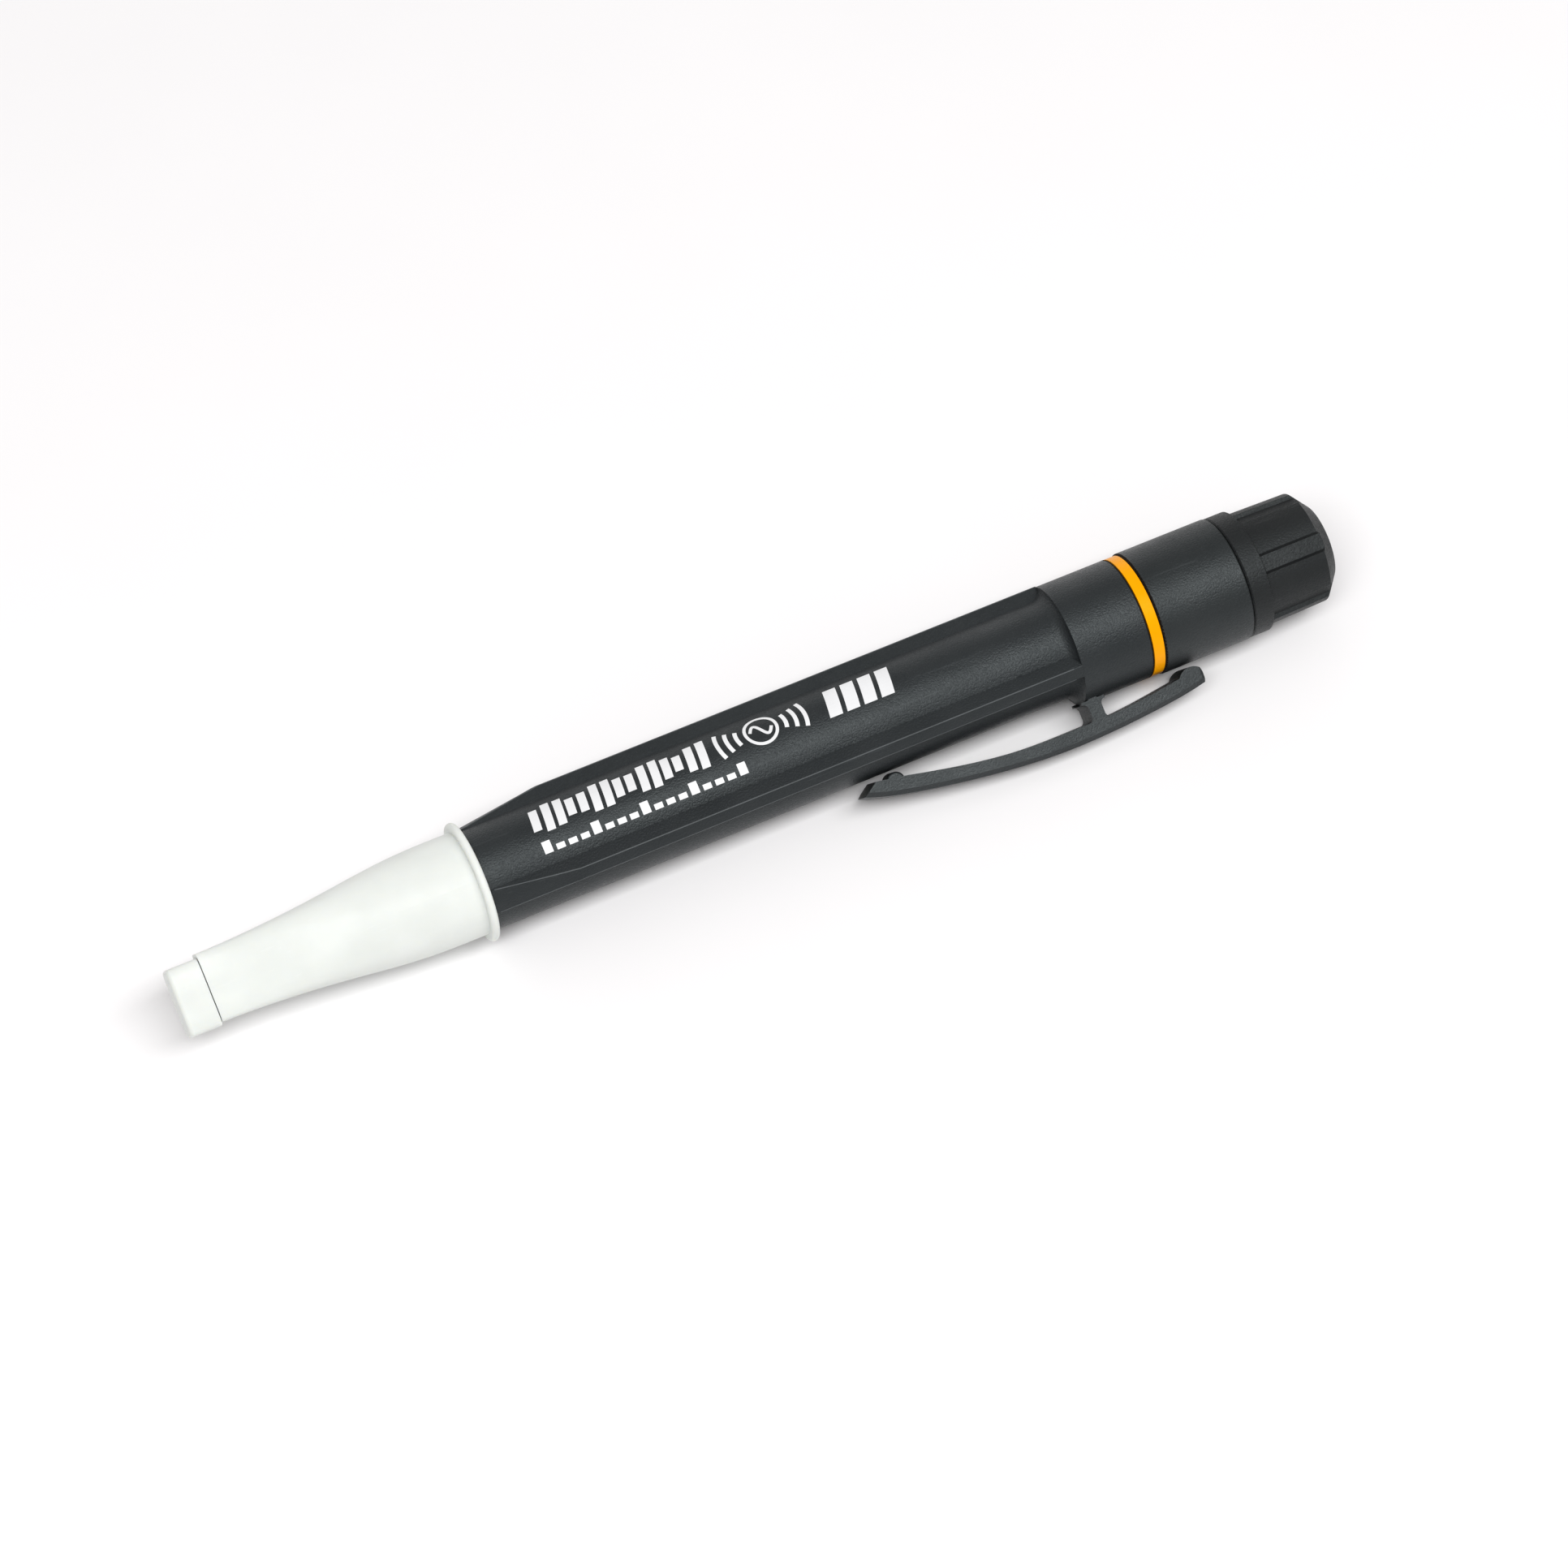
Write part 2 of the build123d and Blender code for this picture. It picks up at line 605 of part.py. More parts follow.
def battery_spring():
    """Conical spring between the cup's floor and the rear cell."""
    front = cells_end + spring_wire_radius + 0.15
    back = cup_floor_start - joint_clearance - spring_wire_radius - 0.02
    length = back - front
    cone = math.degrees(math.atan((spring_front_radius - spring_back_radius) / length))
    path = Helix(length / spring_turns, length, spring_back_radius, cone_angle=cone)
    section = Plane(origin=path @ 0, z_dir=path % 0) * Circle(spring_wire_radius)
    return Pos(back, 0, 0) * Rot(0, -90, 0) * sweep(section, path, is_frenet=True)


# ---- cells --------------------------------------------------------------------------------------------
def add_cell(prefix, start):
    """One cell, button end first: can, contents, jacket, gasket and base plate."""
    end = start + cell_length
    shell = cell_radius - cell_jacket_wall
    inner = shell - cell_wall
    head = start + cell_button_length
    base = end - 0.35
    plate = inner - 1.05
    add(prefix + "_can", turned(
        (start, 0), (start, cell_button_radius), (head, cell_button_radius), (head, shell), (base, shell),
        (base, inner), (head + cell_wall, inner), (head + cell_wall, cell_button_radius - cell_wall),
        (start + cell_wall, cell_button_radius - cell_wall), (start + cell_wall, 0),
    ))
    add(prefix + "_contents", tube(head + cell_wall + 0.02, base - 1.2, inner - 0.02))
    add(prefix + "_jacket", turned(
        (head - 0.15, cell_button_radius + 0.9), (head - 0.15, cell_radius), (end - 0.15, cell_radius),
        (end - 0.15, shell - 0.5), (base + 0.05, shell - 0.5), (base + 0.05, shell + 0.005),
        (head - 0.03, shell + 0.005), (head - 0.03, cell_button_radius + 0.9),
    ))
    add(prefix + "_gasket", tube(base - 1.1, base, inner - 0.02, plate + 0.05))
    add(prefix + "_base_plate", tube(base - 0.6, end, plate))


# ---- assembly -----------------------------------------------------------------------------------------
add("nose_shell", nose_shell())
add("nose_end_cap", nose_end_cap())
add("nose_seal_ring", seal_ring(nose_seal_x, nose_seal_radius, nose_seal_section_radius))
add("antenna_plate", block(
    (blade_start + 3.6, board_start + 1.6), (board_half + pad_lift, board_half + pad_lift + sheet_metal),
    (-2.6, 2.6),
))
add("indicator_led", indicator_led())
add("led_leads", led_leads())
add("circuit_board", block(
    (board_start, board_end), (-board_half, board_half), (-board_width / 2, board_width / 2),
))
add("sensing_chip", block(
    (chip_start, chip_start + chip_size[0]), (board_half + 0.15, board_half + 0.15 + chip_size[2]),
    (-chip_size[1] / 2, chip_size[1] / 2),
))
add("sensing_chip_leads", sensing_chip_leads())
resistor_places = [(3.0, -2.6), (3.0, -0.4), (3.0, 1.8), (13.5, -2.9), (13.5, 2.1)]
capacitor_places = [(7.0, -2.4), (7.0, 1.2), (16.6, -0.6)]
add("chip_resistors", small_blocks(resistor_places, 1.6, 0.8, 0.45))
add("chip_capacitors", small_blocks(capacitor_places, 2.0, 1.25, 0.9))
add("transistor", small_blocks([(10.4, -1.4)], 1.4, 2.9, 1.1))
add("board_carrier", board_carrier())
add("front_contact", front_contact())
add("barrel", barrel())
add("contact_strip", contact_strip())
add("pocket_clip", pocket_clip())
add("accent_ring", tube(
    shoulder_end + ring_gap, sleeve_start - ring_gap, shoulder_radius, sleeve_bore_radius,
))
add("rear_sleeve", rear_sleeve())
add("end_cap", end_cap())
add("cap_seal_ring", seal_ring(cap_seal_x, cap_seal_radius, cap_seal_section_radius))
add("rear_contact_cup", rear_contact_cup())
add("battery_spring", battery_spring())
add_cell("front_cell", front_cell_start)
add_cell("rear_cell", rear_cell_start)

for name, shape in pieces.items():
    export_step(shape, f"parts/{name}.step")
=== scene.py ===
"""Looks of the non contact voltage tester: procedural materials, printed marks, and a plain studio."""
import json
import math

import bpy
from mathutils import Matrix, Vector
from mathutils.bvhtree import BVHTree


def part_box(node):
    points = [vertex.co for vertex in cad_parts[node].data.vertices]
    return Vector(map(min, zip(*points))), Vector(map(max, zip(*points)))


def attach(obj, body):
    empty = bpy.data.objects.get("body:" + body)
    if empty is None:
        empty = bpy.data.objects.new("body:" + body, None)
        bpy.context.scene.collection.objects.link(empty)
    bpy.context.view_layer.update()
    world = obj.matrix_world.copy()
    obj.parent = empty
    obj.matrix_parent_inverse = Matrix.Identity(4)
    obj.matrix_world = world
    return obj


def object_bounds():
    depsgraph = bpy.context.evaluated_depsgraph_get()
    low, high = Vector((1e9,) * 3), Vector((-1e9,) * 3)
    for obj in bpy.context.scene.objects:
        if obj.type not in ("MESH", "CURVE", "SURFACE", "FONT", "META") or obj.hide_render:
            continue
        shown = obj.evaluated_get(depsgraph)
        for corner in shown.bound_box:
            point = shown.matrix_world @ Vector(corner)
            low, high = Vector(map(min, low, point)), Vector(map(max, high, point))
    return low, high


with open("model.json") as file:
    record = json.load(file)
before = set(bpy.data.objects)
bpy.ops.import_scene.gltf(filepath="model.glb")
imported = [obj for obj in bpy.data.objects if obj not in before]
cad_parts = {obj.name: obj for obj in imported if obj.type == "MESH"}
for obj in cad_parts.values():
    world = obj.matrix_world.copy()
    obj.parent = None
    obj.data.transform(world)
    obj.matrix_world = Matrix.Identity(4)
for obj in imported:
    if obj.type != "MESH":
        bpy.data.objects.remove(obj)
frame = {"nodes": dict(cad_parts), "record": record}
cad_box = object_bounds()
nodes = frame["nodes"]
mm = 0.001

# ---- places, taken from the frame -----------------------------------------------------------------------
ring_low, ring_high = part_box("accent_ring")
sleeve_low, sleeve_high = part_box("rear_sleeve")
tip_x = cad_box[0][0]
axis_y = (ring_low.y + ring_high.y) / 2
axis_z = (ring_low.z + ring_high.z) / 2
sleeve_x = sleeve_low.x
barrel_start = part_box("barrel")[0].x - tip_x
knuckle = frame["record"]["behaviour"]["joints"][0]["pos_m"]
clip_turn = math.atan2(axis_y - knuckle[1], knuckle[2] - axis_z)


# ---- material tools -------------------------------------------------------------------------------------
class Nodes:
    """Builds one node material round a single principled shader."""

    # socket numbers of the colour sockets on a mix node, whose names its other sockets share
    MIX_FIRST = 6
    MIX_RESULT = 2

    def __init__(self, name, **values):
        self.material = bpy.data.materials.new(name)
        self.material.use_nodes = True
        self.tree = self.material.node_tree
        self.tree.nodes.clear()
        self.shader = self.add("ShaderNodeBsdfPrincipled")
        output = self.add("ShaderNodeOutputMaterial")
        self.link(self.shader, "BSDF", output, "Surface")
        self.place = self.add("ShaderNodeTexCoord")
        for key, value in values.items():
            self.shader.inputs[key.replace("_", " ")].default_value = value

    def add(self, kind, **values):
        node = self.tree.nodes.new(kind)
        for key, value in values.items():
            setattr(node, key, value)
        return node

    def link(self, source, output, target, socket):
        self.tree.links.new(source.outputs[output], target.inputs[socket])

    def spot(self, stretch):
        """Object-space place, stretched along each axis."""
        mapping = self.add("ShaderNodeMapping")
        mapping.inputs["Scale"].default_value = stretch
        self.link(self.place, "Object", mapping, "Vector")
        return mapping

    def noise(self, scale, detail=2.0, roughness=0.5, stretch=(1, 1, 1)):
        """Noise with the scale in cells per metre."""
        node = self.add("ShaderNodeTexNoise")
        node.inputs["Scale"].default_value = scale
        node.inputs["Detail"].default_value = detail
        node.inputs["Roughness"].default_value = roughness
        self.link(self.spot(stretch), "Vector", node, "Vector")
        return node

    def ramp(self, source, output, low, high, low_value, high_value):
        """Clamped remap of a value."""
        node = self.add("ShaderNodeMapRange")
        node.inputs["From Min"].default_value = low
        node.inputs["From Max"].default_value = high
        node.inputs["To Min"].default_value = low_value
        node.inputs["To Max"].default_value = high_value
        self.link(source, output, node, "Value")
        return node

    def mix(self, factor, first, second):
        """Goes by a remapped value from a colour, or an earlier mix, to a second colour."""
        node = self.add("ShaderNodeMix", data_type="RGBA")
        if isinstance(first, tuple):
            node.inputs["A"].default_value = (*first, 1)
        else:
            self.link(first, self.MIX_RESULT, node, self.MIX_FIRST)
        node.inputs["B"].default_value = (*second, 1)
        self.link(factor, "Result", node, "Factor")
        return node

    def paint(self, mixed):
        self.link(mixed, self.MIX_RESULT, self.shader, "Base Color")

    def bump(self, source, output, depth, below=None):
        """Relief of the given depth in metres, on top of the relief below."""
        node = self.add("ShaderNodeBump")
        node.inputs["Strength"].default_value = 1.0
        node.inputs["Distance"].default_value = depth
        self.link(source, output, node, "Height")
        if below:
            self.link(below, "Normal", node, "Normal")
        return node

    def relief(self, bump):
        self.link(bump, "Normal", self.shader, "Normal")


def moulded(name, dark, light, roughness, grain, depth, streaks=1.0, **values):
    """Moulded plastic: spark-eroded grain, flow blotches, rubbed patches and hair scratches along the tool.

    The grain is in cells per metre and its depth in millimetres; streaks is the share of scratches that show.
    """
    n = Nodes(name, **values)
    blotches = n.ramp(n.noise(140, 3), "Fac", 0.35, 0.65, 0.0, 1.0)
    body = n.mix(blotches, dark, light)
    scratches = n.noise(1500, 2, 0.6, (0.06, 1, 1))
    scratched = n.ramp(scratches, "Fac", 0.665, 0.72, 0.0, 0.5 * streaks)
    paler = tuple(min(1.0, value * 1.7 + 0.01) for value in light)
    n.paint(n.mix(scratched, body, paler))
    fine = n.noise(grain, 2, 0.6)
    rubbed = n.ramp(n.noise(95, 4, 0.6), "Fac", 0.4, 0.7, roughness + 0.05, roughness - 0.05)
    spread = n.ramp(fine, "Fac", 0.3, 0.7, -0.09, 0.10)
    total = n.add("ShaderNodeMath", operation="ADD")
    n.link(rubbed, "Result", total, 0)
    n.link(spread, "Result", total, 1)
    n.link(total, "Value", n.shader, "Roughness")
    sink = n.bump(n.noise(230, 2), "Fac", 0.012 * mm)
    grained = n.bump(fine, "Fac", depth * mm, sink)
    n.relief(n.bump(scratched, "Result", -0.004 * mm, grained))
    return n.material


def worked_metal(name, colour, shade, roughness, stretch, depth, stain=0.25):
    """Rolled or drawn metal: fine lines one way, cloudy stains and small pits."""
    n = Nodes(name, Metallic=1.0)
    cloud = n.ramp(n.noise(420, 4, 0.6), "Fac", 0.4, 0.75, 0.0, stain)
    tone = n.mix(cloud, colour, shade)
    lines = n.noise(5200, 2, 0.7, stretch)
    streak = n.ramp(lines, "Fac", 0.45, 0.8, 0.0, 0.35)
    n.paint(n.mix(streak, tone, shade))
    grain = n.ramp(lines, "Fac", 0.3, 0.7, roughness - 0.06, roughness + 0.12)
    n.link(grain, "Result", n.shader, "Roughness")
    drawn = n.bump(lines, "Fac", depth * mm)
    pits = n.ramp(n.noise(2600, 1), "Fac", 0.7, 0.78, 0.0, 1.0)
    n.relief(n.bump(pits, "Result", -0.006 * mm, drawn))
    return n.material


def grit(name, dark, light, roughness, scale, depth, **values):
    """Speckled solid such as rubber, ceramic or pressed powder."""
    n = Nodes(name, **values)
    specks = n.noise(scale, 4, 0.7)
    n.paint(n.mix(n.ramp(specks, "Fac", 0.38, 0.62, 0.0, 1.0), dark, light))
    rough = n.ramp(specks, "Fac", 0.3, 0.7, roughness - 0.08, roughness + 0.08)
    n.link(rough, "Result", n.shader, "Roughness")
    broad = n.bump(n.noise(scale / 8, 2), "Fac", 2 * depth * mm)
    n.relief(n.bump(specks, "Fac", depth * mm, broad))
    return n.material


def laminate(name):
    """Circuit board: green mask over copper runs, with the weave of the glass showing a little."""
    n = Nodes(name, Specular_IOR_Level=0.6, Coat_Weight=0.3, Coat_Roughness=0.15)
    runs = n.add("ShaderNodeTexBrick", offset=0.5, squash=1.0)
    runs.inputs["Scale"].default_value = 260.0
    runs.inputs["Mortar Size"].default_value = 0.07
    runs.inputs["Mortar Smooth"].default_value = 0.1
    runs.inputs["Brick Width"].default_value = 0.8
    runs.inputs["Row Height"].default_value = 0.22
    runs.inputs["Color1"].default_value = (0, 0, 0, 1)
    runs.inputs["Color2"].default_value = (0, 0, 0, 1)
    runs.inputs["Mortar"].default_value = (1, 1, 1, 1)
    n.link(n.spot((1, 1, 1)), "Vector", runs, "Vector")
    covered = n.ramp(runs, "Color", 0.2, 0.8, 0.0, 1.0)
    cloud = n.ramp(n.noise(700, 3), "Fac", 0.35, 0.65, 0.0, 1.0)
    mask = n.mix(cloud, (0.010, 0.105, 0.040), (0.014, 0.135, 0.052))
    n.paint(n.mix(covered, mask, (0.05, 0.27, 0.09)))
    weave = n.add("ShaderNodeTexWave")
    weave.inputs["Scale"].default_value = 900
    n.link(n.spot((1, 1, 1)), "Vector", weave, "Vector")
    n.link(n.ramp(weave, "Fac", 0, 1, 0.28, 0.38), "Result", n.shader, "Roughness")
    n.relief(n.bump(covered, "Result", 0.02 * mm, n.bump(weave, "Fac", 0.004 * mm)))
    return n.material


def cell_film(name, start_x):
    """Printed shrink film on a cell: dark field, a pale band behind the button end, and rub marks."""
    band_end = start_x + 11.4 * mm
    band_fade = 0.2 * mm
    n = Nodes(name, Coat_Weight=0.6, Coat_Roughness=0.12)
    split = n.add("ShaderNodeSeparateXYZ")
    n.link(n.place, "Object", split, "Vector")
    band = n.ramp(split, "X", band_end, band_end + band_fade, 1.0, 0.0)
    cloud = n.ramp(n.noise(300, 3), "Fac", 0.35, 0.65, 0, 1)
    field = n.mix(cloud, (0.012, 0.03, 0.085), (0.016, 0.038, 0.105))
    banded = n.mix(band, field, (0.55, 0.24, 0.05))
    rubbed = n.ramp(n.noise(900, 4, 0.7, (0.15, 1, 1)), "Fac", 0.66, 0.74, 0.0, 0.5)
    n.paint(n.mix(rubbed, banded, (0.45, 0.46, 0.48)))
    n.link(n.ramp(n.noise(500, 3), "Fac", 0.3, 0.7, 0.22, 0.36), "Result", n.shader, "Roughness")
    shrink = n.bump(n.noise(260, 2, 0.5, (0.3, 1, 1)), "Fac", 0.03 * mm)
    n.relief(n.bump(n.noise(3000, 2), "Fac", 0.003 * mm, shrink))
    return n.material


# ---- materials ------------------------------------------------------------------------------------------
NO_RUN = (1, 1, 1)
ALONG = (0.05, 1, 1)
AROUND = (1, 0.12, 0.12)
COOL = (0.90, 0.99, 1.0, 1.0)

barrel_plastic = moulded(
    "barrel_plastic_look", (0.0085, 0.0105, 0.0120), (0.0120, 0.0140, 0.0155),
    roughness=0.43, grain=4200, depth=0.080, Specular_IOR_Level=0.46, Specular_Tint=COOL)
clip_plastic = moulded(
    "clip_plastic_look", (0.0085, 0.0100, 0.0115), (0.0115, 0.0130, 0.0145),
    roughness=0.42, grain=4200, depth=0.070, Specular_IOR_Level=0.46, Specular_Tint=COOL)
sleeve_plastic = moulded(
    "sleeve_plastic_look", (0.0095, 0.0115, 0.0125), (0.0125, 0.0145, 0.0155),
    roughness=0.42, grain=4200, depth=0.075, Specular_IOR_Level=0.44, Specular_Tint=COOL)
cap_plastic = moulded(
    "cap_plastic_look", (0.0065, 0.0070, 0.0075), (0.0090, 0.0095, 0.0100),
    roughness=0.50, grain=3800, depth=0.080, Specular_IOR_Level=0.34, Specular_Tint=COOL)
nose_plastic = moulded(
    "nose_plastic_look", (0.70, 0.73, 0.700), (0.74, 0.77, 0.740),
    roughness=0.42, grain=2400, depth=0.004, streaks=0.1, Subsurface_Weight=0.4,
    Subsurface_Radius=(1.0, 0.9, 0.7), Subsurface_Scale=0.0010, Specular_IOR_Level=0.3)
ring_plastic = moulded(
    "ring_plastic_look", (0.90, 0.345, 0.0), (0.95, 0.38, 0.0),
    roughness=0.34, grain=2400, depth=0.003, streaks=0.1, Specular_IOR_Level=0.2,
    Specular_Tint=(1.0, 0.75, 0.2, 1.0))
# painted highlight, partly rubbed wear: paler plastic for the bright lines along the rib corners
edge_sheen_and_wear = moulded(
    "edge_sheen_and_wear_look", (0.045, 0.049, 0.052), (0.065, 0.070, 0.074),
    roughness=0.38, grain=4200, depth=0.006, Specular_IOR_Level=0.6, Specular_Tint=COOL)
inner_plastic = moulded(
    "inner_plastic_look", (0.15, 0.15, 0.145), (0.20, 0.20, 0.19), roughness=0.52, grain=2600, depth=0.014)
seal_rubber = grit(
    "seal_rubber_look", (0.012, 0.012, 0.012), (0.022, 0.022, 0.023),
    roughness=0.66, scale=4200, depth=0.006, Specular_IOR_Level=0.35)
chip_body = grit(
    "chip_body_look", (0.014, 0.014, 0.015), (0.024, 0.024, 0.026), roughness=0.55, scale=5200, depth=0.005)
ceramic = grit(
    "capacitor_ceramic_look", (0.34, 0.22, 0.12), (0.46, 0.31, 0.18), roughness=0.42, scale=3600, depth=0.004)
# painted shade: near-black colour that stands in for the shadow inside the gaps beside the ring
seam_painted_shade = grit(
    "seam_painted_shade_look", (0.004, 0.003, 0.002), (0.010, 0.007, 0.005),
    roughness=0.8, scale=5200, depth=0.004, Specular_IOR_Level=0.12)
paste = grit("cell_paste_look", (0.02, 0.02, 0.02), (0.06, 0.06, 0.06), roughness=0.8, scale=3000, depth=0.03)
nylon = grit(
    "cell_nylon_look", (0.48, 0.44, 0.34), (0.58, 0.54, 0.43),
    roughness=0.45, scale=2600, depth=0.006, Subsurface_Weight=0.2, Subsurface_Scale=0.0005)
tinned = worked_metal(
    "tinned_metal_look", (0.66, 0.66, 0.64), (0.42, 0.42, 0.41), roughness=0.30, stretch=NO_RUN, depth=0.004)
nickel = worked_metal(
    "nickel_metal_look", (0.62, 0.59, 0.54), (0.40, 0.37, 0.33), roughness=0.28, stretch=ALONG, depth=0.003)
spring_steel = worked_metal(
    "spring_steel_look", (0.52, 0.52, 0.53), (0.30, 0.29, 0.28), roughness=0.26, stretch=AROUND, depth=0.003)
copper = worked_metal(
    "antenna_copper_look", (0.82, 0.42, 0.24), (0.45, 0.20, 0.11),
    roughness=0.32, stretch=ALONG, depth=0.004, stain=0.5)
cell_steel = worked_metal(
    "cell_steel_look", (0.66, 0.66, 0.67), (0.46, 0.46, 0.46), roughness=0.20, stretch=AROUND, depth=0.002)
lens = grit(
    "lamp_lens_look", (0.72, 0.03, 0.02), (0.80, 0.05, 0.03),
    roughness=0.14, scale=900, depth=0.002, Transmission_Weight=0.75, IOR=1.5)
board_laminate = laminate("board_laminate_look")
ink = moulded(
    "print_ink_look", (0.74, 0.75, 0.76), (0.80, 0.81, 0.82),
    roughness=0.5, grain=3600, depth=0.006, streaks=0.2)

FINISH = {
    "nose_shell": nose_plastic, "nose_end_cap": nose_plastic, "nose_seal_ring": seal_rubber,
    "antenna_plate": copper, "indicator_led": lens, "led_leads": tinned, "circuit_board": board_laminate,
    "sensing_chip": chip_body, "sensing_chip_leads": tinned, "chip_resistors": chip_body,
    "chip_capacitors": ceramic, "transistor": chip_body, "board_carrier": inner_plastic,
    "front_contact": nickel, "barrel": barrel_plastic, "contact_strip": nickel, "pocket_clip": clip_plastic,
    "accent_ring": ring_plastic, "rear_sleeve": sleeve_plastic, "end_cap": cap_plastic,
    "cap_seal_ring": seal_rubber, "rear_contact_cup": nickel, "battery_spring": spring_steel,
}
for cell in ("front_cell", "rear_cell"):
    film = cell_film(cell + "_film_look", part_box(cell + "_can")[0].x)
    FINISH.update({
        cell + "_can": cell_steel, cell + "_contents": paste, cell + "_jacket": film,
        cell + "_gasket": nylon, cell + "_base_plate": cell_steel,
    })
for name, node in nodes.items():
    node.data.materials.clear()
    node.data.materials.append(FINISH[name])

# ---- new pieces on the barrel ---------------------------------------------------------------------------
barrel_tree = BVHTree.FromObject(nodes["barrel"], bpy.context.evaluated_depsgraph_get())
ray_start_radius = 12 * mm


def on_barrel(along, turn, lift):
    """Point just above the barrel's surface, along from the tip, turned from straight up to the clip side."""
    outward = Vector((0, -math.sin(turn), math.cos(turn)))
    axis = Vector((tip_x + along, axis_y, axis_z))
    hit = barrel_tree.ray_cast(axis + outward * ray_start_radius, -outward)[0]
    return hit + outward * lift


def add_piece(name, points, faces, material, smooth):
    """New piece of skin that rides the barrel."""
    mesh = bpy.data.meshes.new(name)
    mesh.from_pydata(points, [], faces)
    mesh.materials.append(material)
    if smooth:
        mesh.shade_smooth()
    piece = bpy.data.objects.new(name, mesh)
    bpy.context.scene.collection.objects.link(piece)
    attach(piece, "barrel")


# ---- printed marks, with their sizes in millimetres -----------------------------------------------------
# "along" runs from the tip, "across" runs round the recess, up from the middle line of the print
recess_radius = 6.8
ink_lift = 0.02 * mm
print_turn = math.radians(-10.1)

bar_count = 15
bars_start = 49.4
bar_pitch = 1.66
bar_width = 1.14
bar_least_half = 1.0
bar_swing = 1.3
bar_wave_start = 0.6
bar_wave_step = 0.75
bar_lean = 0.3

sign_middle = 81.8
sign_ring_radius = 2.15
sign_stroke = 0.42
wave_half_length = 1.5
wave_height = 0.9
wave_steps = 30
arc_radii = (3.4, 4.75, 6.1)
arc_half_angle = 20
arc_stroke = 0.55

block_count = 4
blocks_start = 90.6
block_pitch = 2.45
block_width = 1.8
block_half = 2.3
block_lean = 0.9

dash_count = 17
dashes_start = 49.6
dash_pitch = 1.7
dash_width = 1.15
dash_foot = -4.9
dash_height = 0.75
tall_dash_height = 1.6
tall_dash_every = 4


def patch(name, grids):
    """One piece of ink made of grids; each grid is rows of (along, across) places."""
    points = []
    faces = []
    for grid in grids:
        first = len(points)
        width = len(grid[0])
        for row in grid:
            for along, across in row:
                points.append(on_barrel(along * mm, print_turn - across / recess_radius, ink_lift))
        for step in range(len(grid) - 1):
            for rank in range(width - 1):
                corner = first + width * step + rank
                faces.append((corner, corner + width, corner + width + 1, corner + 1))
    add_piece(name, points, faces, ink, smooth=False)


def slab(start, width, low, high, lean=0.0, rows=8):
    """Block of ink whose top is shifted by the lean, cut into rows so that it follows the round face."""
    shares = [rank / rows for rank in range(rows + 1)]
    return [
        [(along + lean * share, low + (high - low) * share) for share in shares]
        for along in (start, start + width)
    ]


def ribbon(line, thickness):
    """Line of ink with an even thickness."""
    grid = []
    for number, (along, across) in enumerate(line):
        before = line[max(number - 1, 0)]
        after = line[min(number + 1, len(line) - 1)]
        run = (after[0] - before[0], after[1] - before[1])
        half = thickness / 2 / math.hypot(*run)
        aside = (-run[1] * half, run[0] * half)
        grid.append([
            (along - aside[0], across - aside[1]), (along, across), (along + aside[0], across + aside[1]),
        ])
    return grid


def arc_line(middle, radius, start, end, steps=40):
    """Places along an arc about a point of the print's middle line, between two angles in degrees."""
    turns = [math.radians(start + (end - start) * step / steps) for step in range(steps + 1)]
    return [(middle + radius * math.cos(turn), radius * math.sin(turn)) for turn in turns]


# a row of leaning bars whose height swings like a signal
signal_bars = []
for number in range(bar_count):
    half = bar_least_half + bar_swing * abs(math.sin(bar_wave_step * number + bar_wave_start))
    signal_bars.append(slab(bars_start + bar_pitch * number, bar_width, -half, half, bar_lean * half))

# a wave sign in a ring, between arcs that open to both sides
wave_line = []
for step in range(wave_steps + 1):
    share = step / wave_steps
    wave_line.append((
        sign_middle + wave_half_length * (2 * share - 1), wave_height * math.sin(2 * math.pi * share),
    ))
wave_sign = [
    ribbon(arc_line(sign_middle, sign_ring_radius, 0, 360), sign_stroke), ribbon(wave_line, sign_stroke),
]
for radius in arc_radii:
    for facing in (0, 180):
        arc = arc_line(sign_middle, radius, facing - arc_half_angle, facing + arc_half_angle)
        wave_sign.append(ribbon(arc, arc_stroke))

lean_blocks = []
for number in range(block_count):
    block_start = blocks_start + block_pitch * number
    lean_blocks.append(slab(block_start, block_width, -block_half, block_half, block_lean))

# a row of dashes below, in which each fourth one is tall
dashes = []
for number in range(dash_count):
    height = dash_height if number % tall_dash_every else tall_dash_height
    dashes.append(slab(dashes_start + dash_pitch * number, dash_width, dash_foot, dash_foot + height))

patch("signal_bars_print", signal_bars)
patch("wave_sign_print", wave_sign)
patch("lean_blocks_print", lean_blocks)
patch("dash_line_print", dashes)

# ---- painted highlight, partly rubbed wear, on the corners of the ribs ----------------------------------
rib_count = 3
rib_wall_distance = 4.845 * mm
corner_start = barrel_start + 0.6 * mm
corner_end = sleeve_x - tip_x - 12.9 * mm
corner_steps = 160
corner_half = math.radians(0.55)
corner_sink = -0.01 * mm
corner_rise = 0.04 * mm
corner_section = (
    (-corner_half, corner_sink), (-0.4 * corner_half, corner_rise),
    (0.4 * corner_half, corner_rise), (corner_half, corner_sink),
)


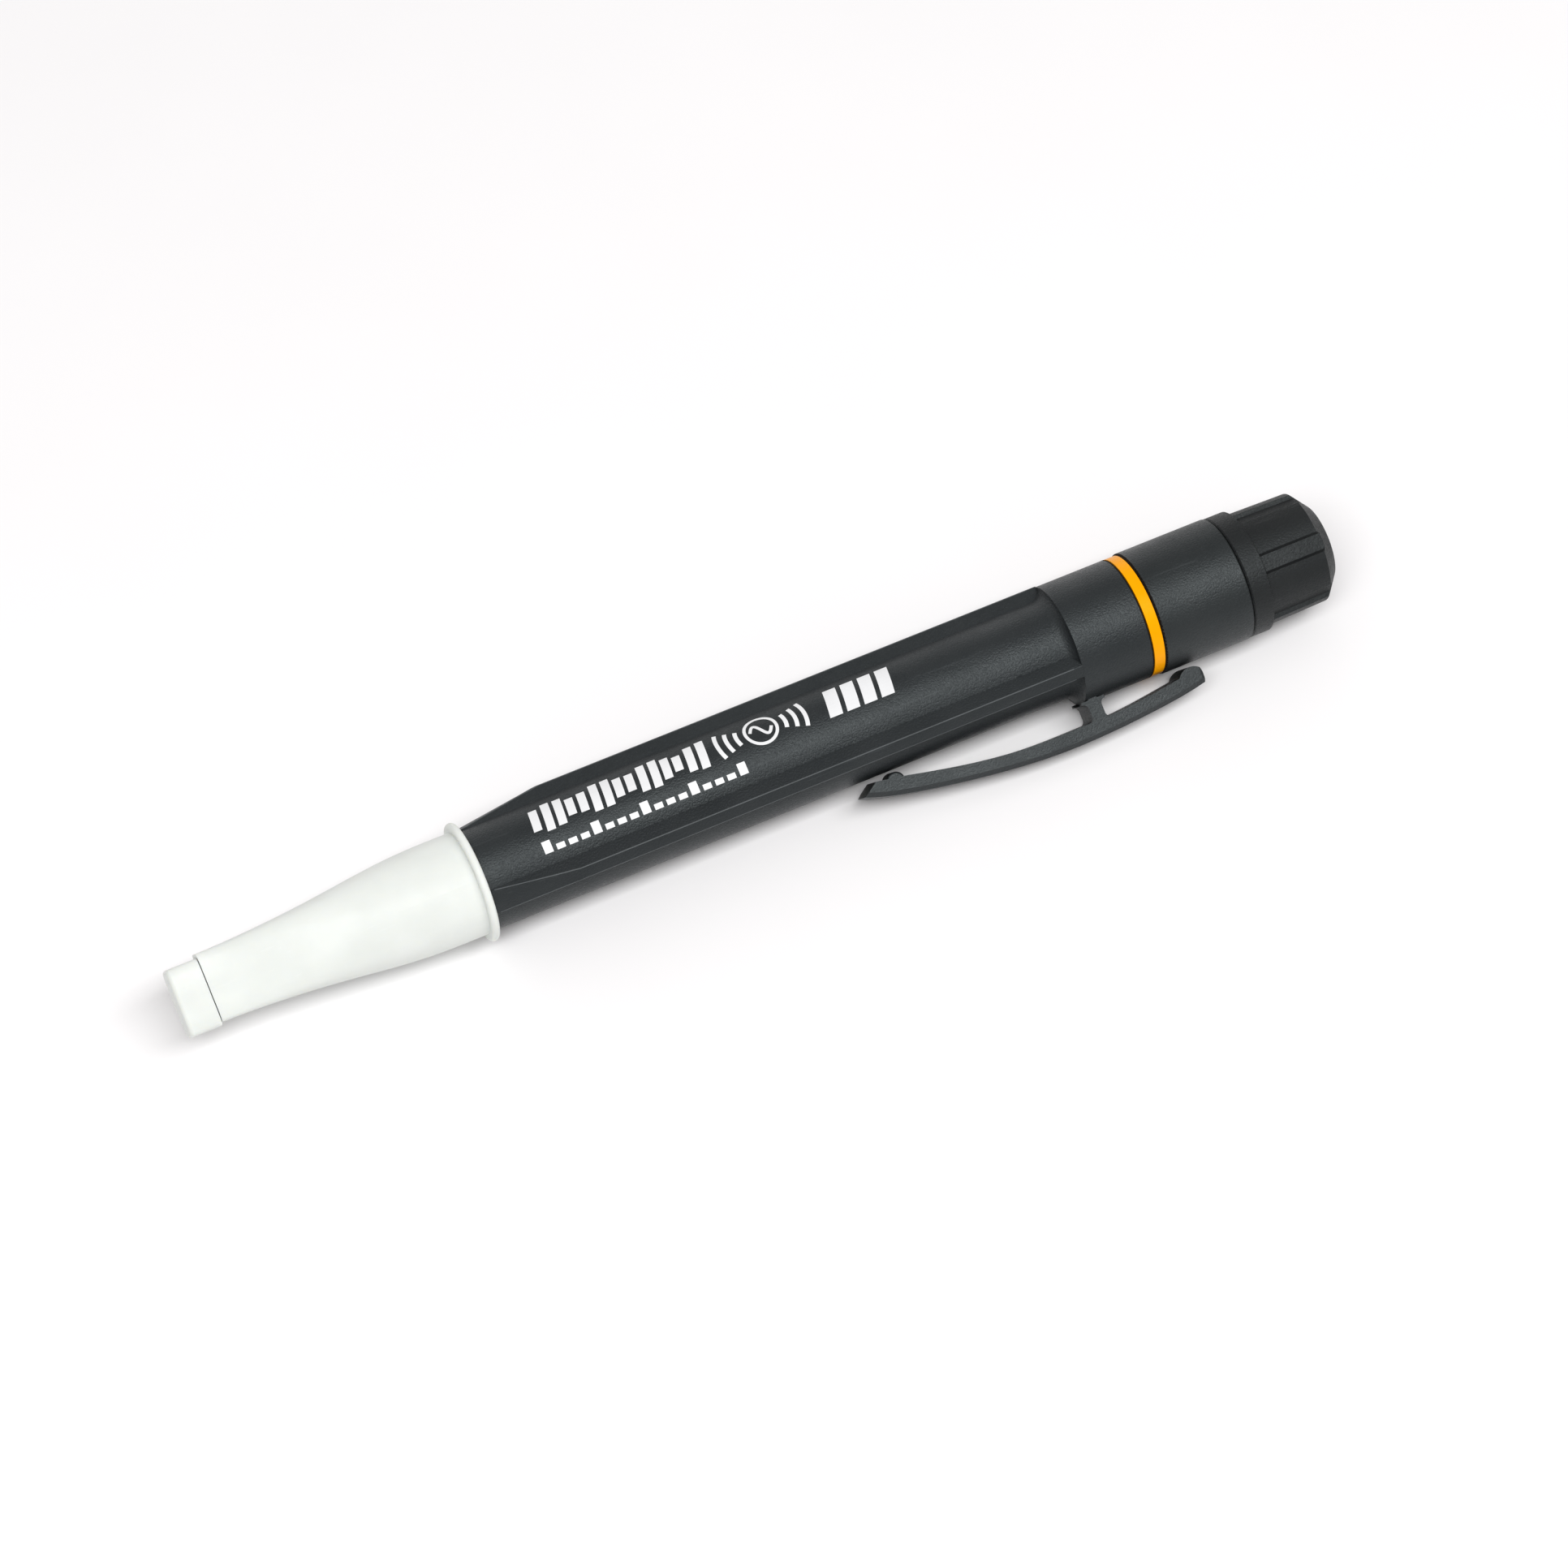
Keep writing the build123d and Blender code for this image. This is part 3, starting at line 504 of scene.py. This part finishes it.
def highlit_worn_corner(points, faces, recess_turn, side):
    """Adds a low bead along a rib's corner, on one side of the recess that faces the given way; its paler
    colour is a painted highlight on the corner, partly also rubbed wear.
    """
    rib_turn = recess_turn + side * math.pi / rib_count
    for step in range(corner_steps + 1):
        along = corner_start + (corner_end - corner_start) * step / corner_steps
        crown = on_barrel(along, rib_turn, 0)
        crown_radius = math.hypot(crown.y - axis_y, crown.z - axis_z)
        turn = recess_turn + side * math.acos(rib_wall_distance / crown_radius)
        for offset, lift in corner_section:
            points.append(on_barrel(along, turn + offset, lift))
        if step:
            corner = len(points) - 4
            for rank in range(3):
                faces.append((corner + rank - 4, corner + rank, corner + rank + 1, corner + rank - 3))


corner_points = []
corner_faces = []
for number in range(rib_count):
    for side in (-1, 1):
        highlit_worn_corner(corner_points, corner_faces, clip_turn + 2 * math.pi * number / rib_count, side)
# the beads carry the paler plastic as a painted highlight along the rib corners, partly rubbed wear
add_piece("rib_corner_highlight_and_wear", corner_points, corner_faces, edge_sheen_and_wear, smooth=True)

# ---- painted shade: dark bands over the shadowed gaps beside the ring -----------------------------------
ring_radius = (ring_high.z - ring_low.z) / 2
sleeve_radius = (sleeve_high.z - sleeve_low.z) / 2
shoulder_end = ring_low.x - (sleeve_x - ring_high.x)
sleeve_edge = 0.2 * mm
gap_shade_lift = 0.01 * mm
gap_shade_width = 0.14 * mm
gap_shade_steps = 120
shoulder_band = (
    (shoulder_end - gap_shade_width, ring_radius + gap_shade_lift), (shoulder_end, ring_radius + gap_shade_lift),
)
sleeve_band = (
    (sleeve_x, sleeve_radius - sleeve_edge + gap_shade_lift),
    (sleeve_x + sleeve_edge, sleeve_radius + 0.3 * gap_shade_lift),
)
# painted shade: two thin dark bands laid over the gaps on either side of the ring
gap_shade_points = []
gap_shade_faces = []
for band in (shoulder_band, sleeve_band):
    first = len(gap_shade_points)
    for step in range(gap_shade_steps):
        turn = 2 * math.pi * step / gap_shade_steps
        for place_x, radius in band:
            across = (axis_y - radius * math.sin(turn), axis_z + radius * math.cos(turn))
            gap_shade_points.append((place_x, *across))
        here = first + 2 * step
        there = first + 2 * ((step + 1) % gap_shade_steps)
        gap_shade_faces.append((here, there, there + 1, here + 1))
add_piece("ring_seam_painted_shade", gap_shade_points, gap_shade_faces, seam_painted_shade, smooth=True)

# ---- studio ---------------------------------------------------------------------------------------------
bpy.context.scene.view_settings.view_transform = "Standard"
bpy.ops.mesh.primitive_plane_add(size=4)
floor = bpy.context.object
floor.name = "floor"
paper = Nodes("floor_paper", Roughness=0.85, Specular_IOR_Level=0.2)
paper_cloud = paper.ramp(paper.noise(30, 3), "Fac", 0.3, 0.7, 0, 1)
paper.paint(paper.mix(paper_cloud, (0.86, 0.855, 0.86), (0.87, 0.865, 0.87)))
floor.data.materials.append(paper.material)

world = bpy.data.worlds.new("studio")
bpy.context.scene.world = world
world.use_nodes = True
background = world.node_tree.nodes["Background"]
background.inputs["Color"].default_value = (1.0, 0.965, 0.96, 1)
background.inputs["Strength"].default_value = 0.42


def softbox(name, lean, distance, length, width, power):
    """Long soft lamp that leans by some degrees from straight up to the front, and points at the tool."""
    light = bpy.data.lights.new(name, "AREA")
    light.shape = "RECTANGLE"
    light.size = length
    light.size_y = width
    light.energy = power
    lamp = bpy.data.objects.new(name, light)
    bpy.context.scene.collection.objects.link(lamp)
    lean = math.radians(lean)
    lamp.location = (0, -math.sin(lean) * distance, math.cos(lean) * distance)
    lamp.rotation_euler = (lean, 0, 0)


softbox("key", lean=21, distance=0.9, length=1.3, width=0.34, power=9.0)
softbox("back", lean=-75, distance=0.8, length=1.0, width=0.3, power=0.8)

# ---- camera ---------------------------------------------------------------------------------------------
view_azimuth = math.radians(-25.3)
view_elevation = math.radians(58.62)
view_distance = 0.7532
aim_point = Vector((sleeve_x - 52.83 * mm, axis_y - 3.744 * mm, axis_z))
back = Vector((
    math.sin(view_azimuth) * math.cos(view_elevation),
    -math.cos(view_azimuth) * math.cos(view_elevation),
    math.sin(view_elevation),
))
camera_data = bpy.data.cameras.new("camera")
camera_data.sensor_width = 36
camera_data.lens = 134.76
camera = bpy.data.objects.new("camera", camera_data)
bpy.context.scene.collection.objects.link(camera)
camera.location = aim_point + back * view_distance
camera.rotation_euler = back.to_track_quat("Z", "Y").to_euler()
bpy.context.scene.camera = camera
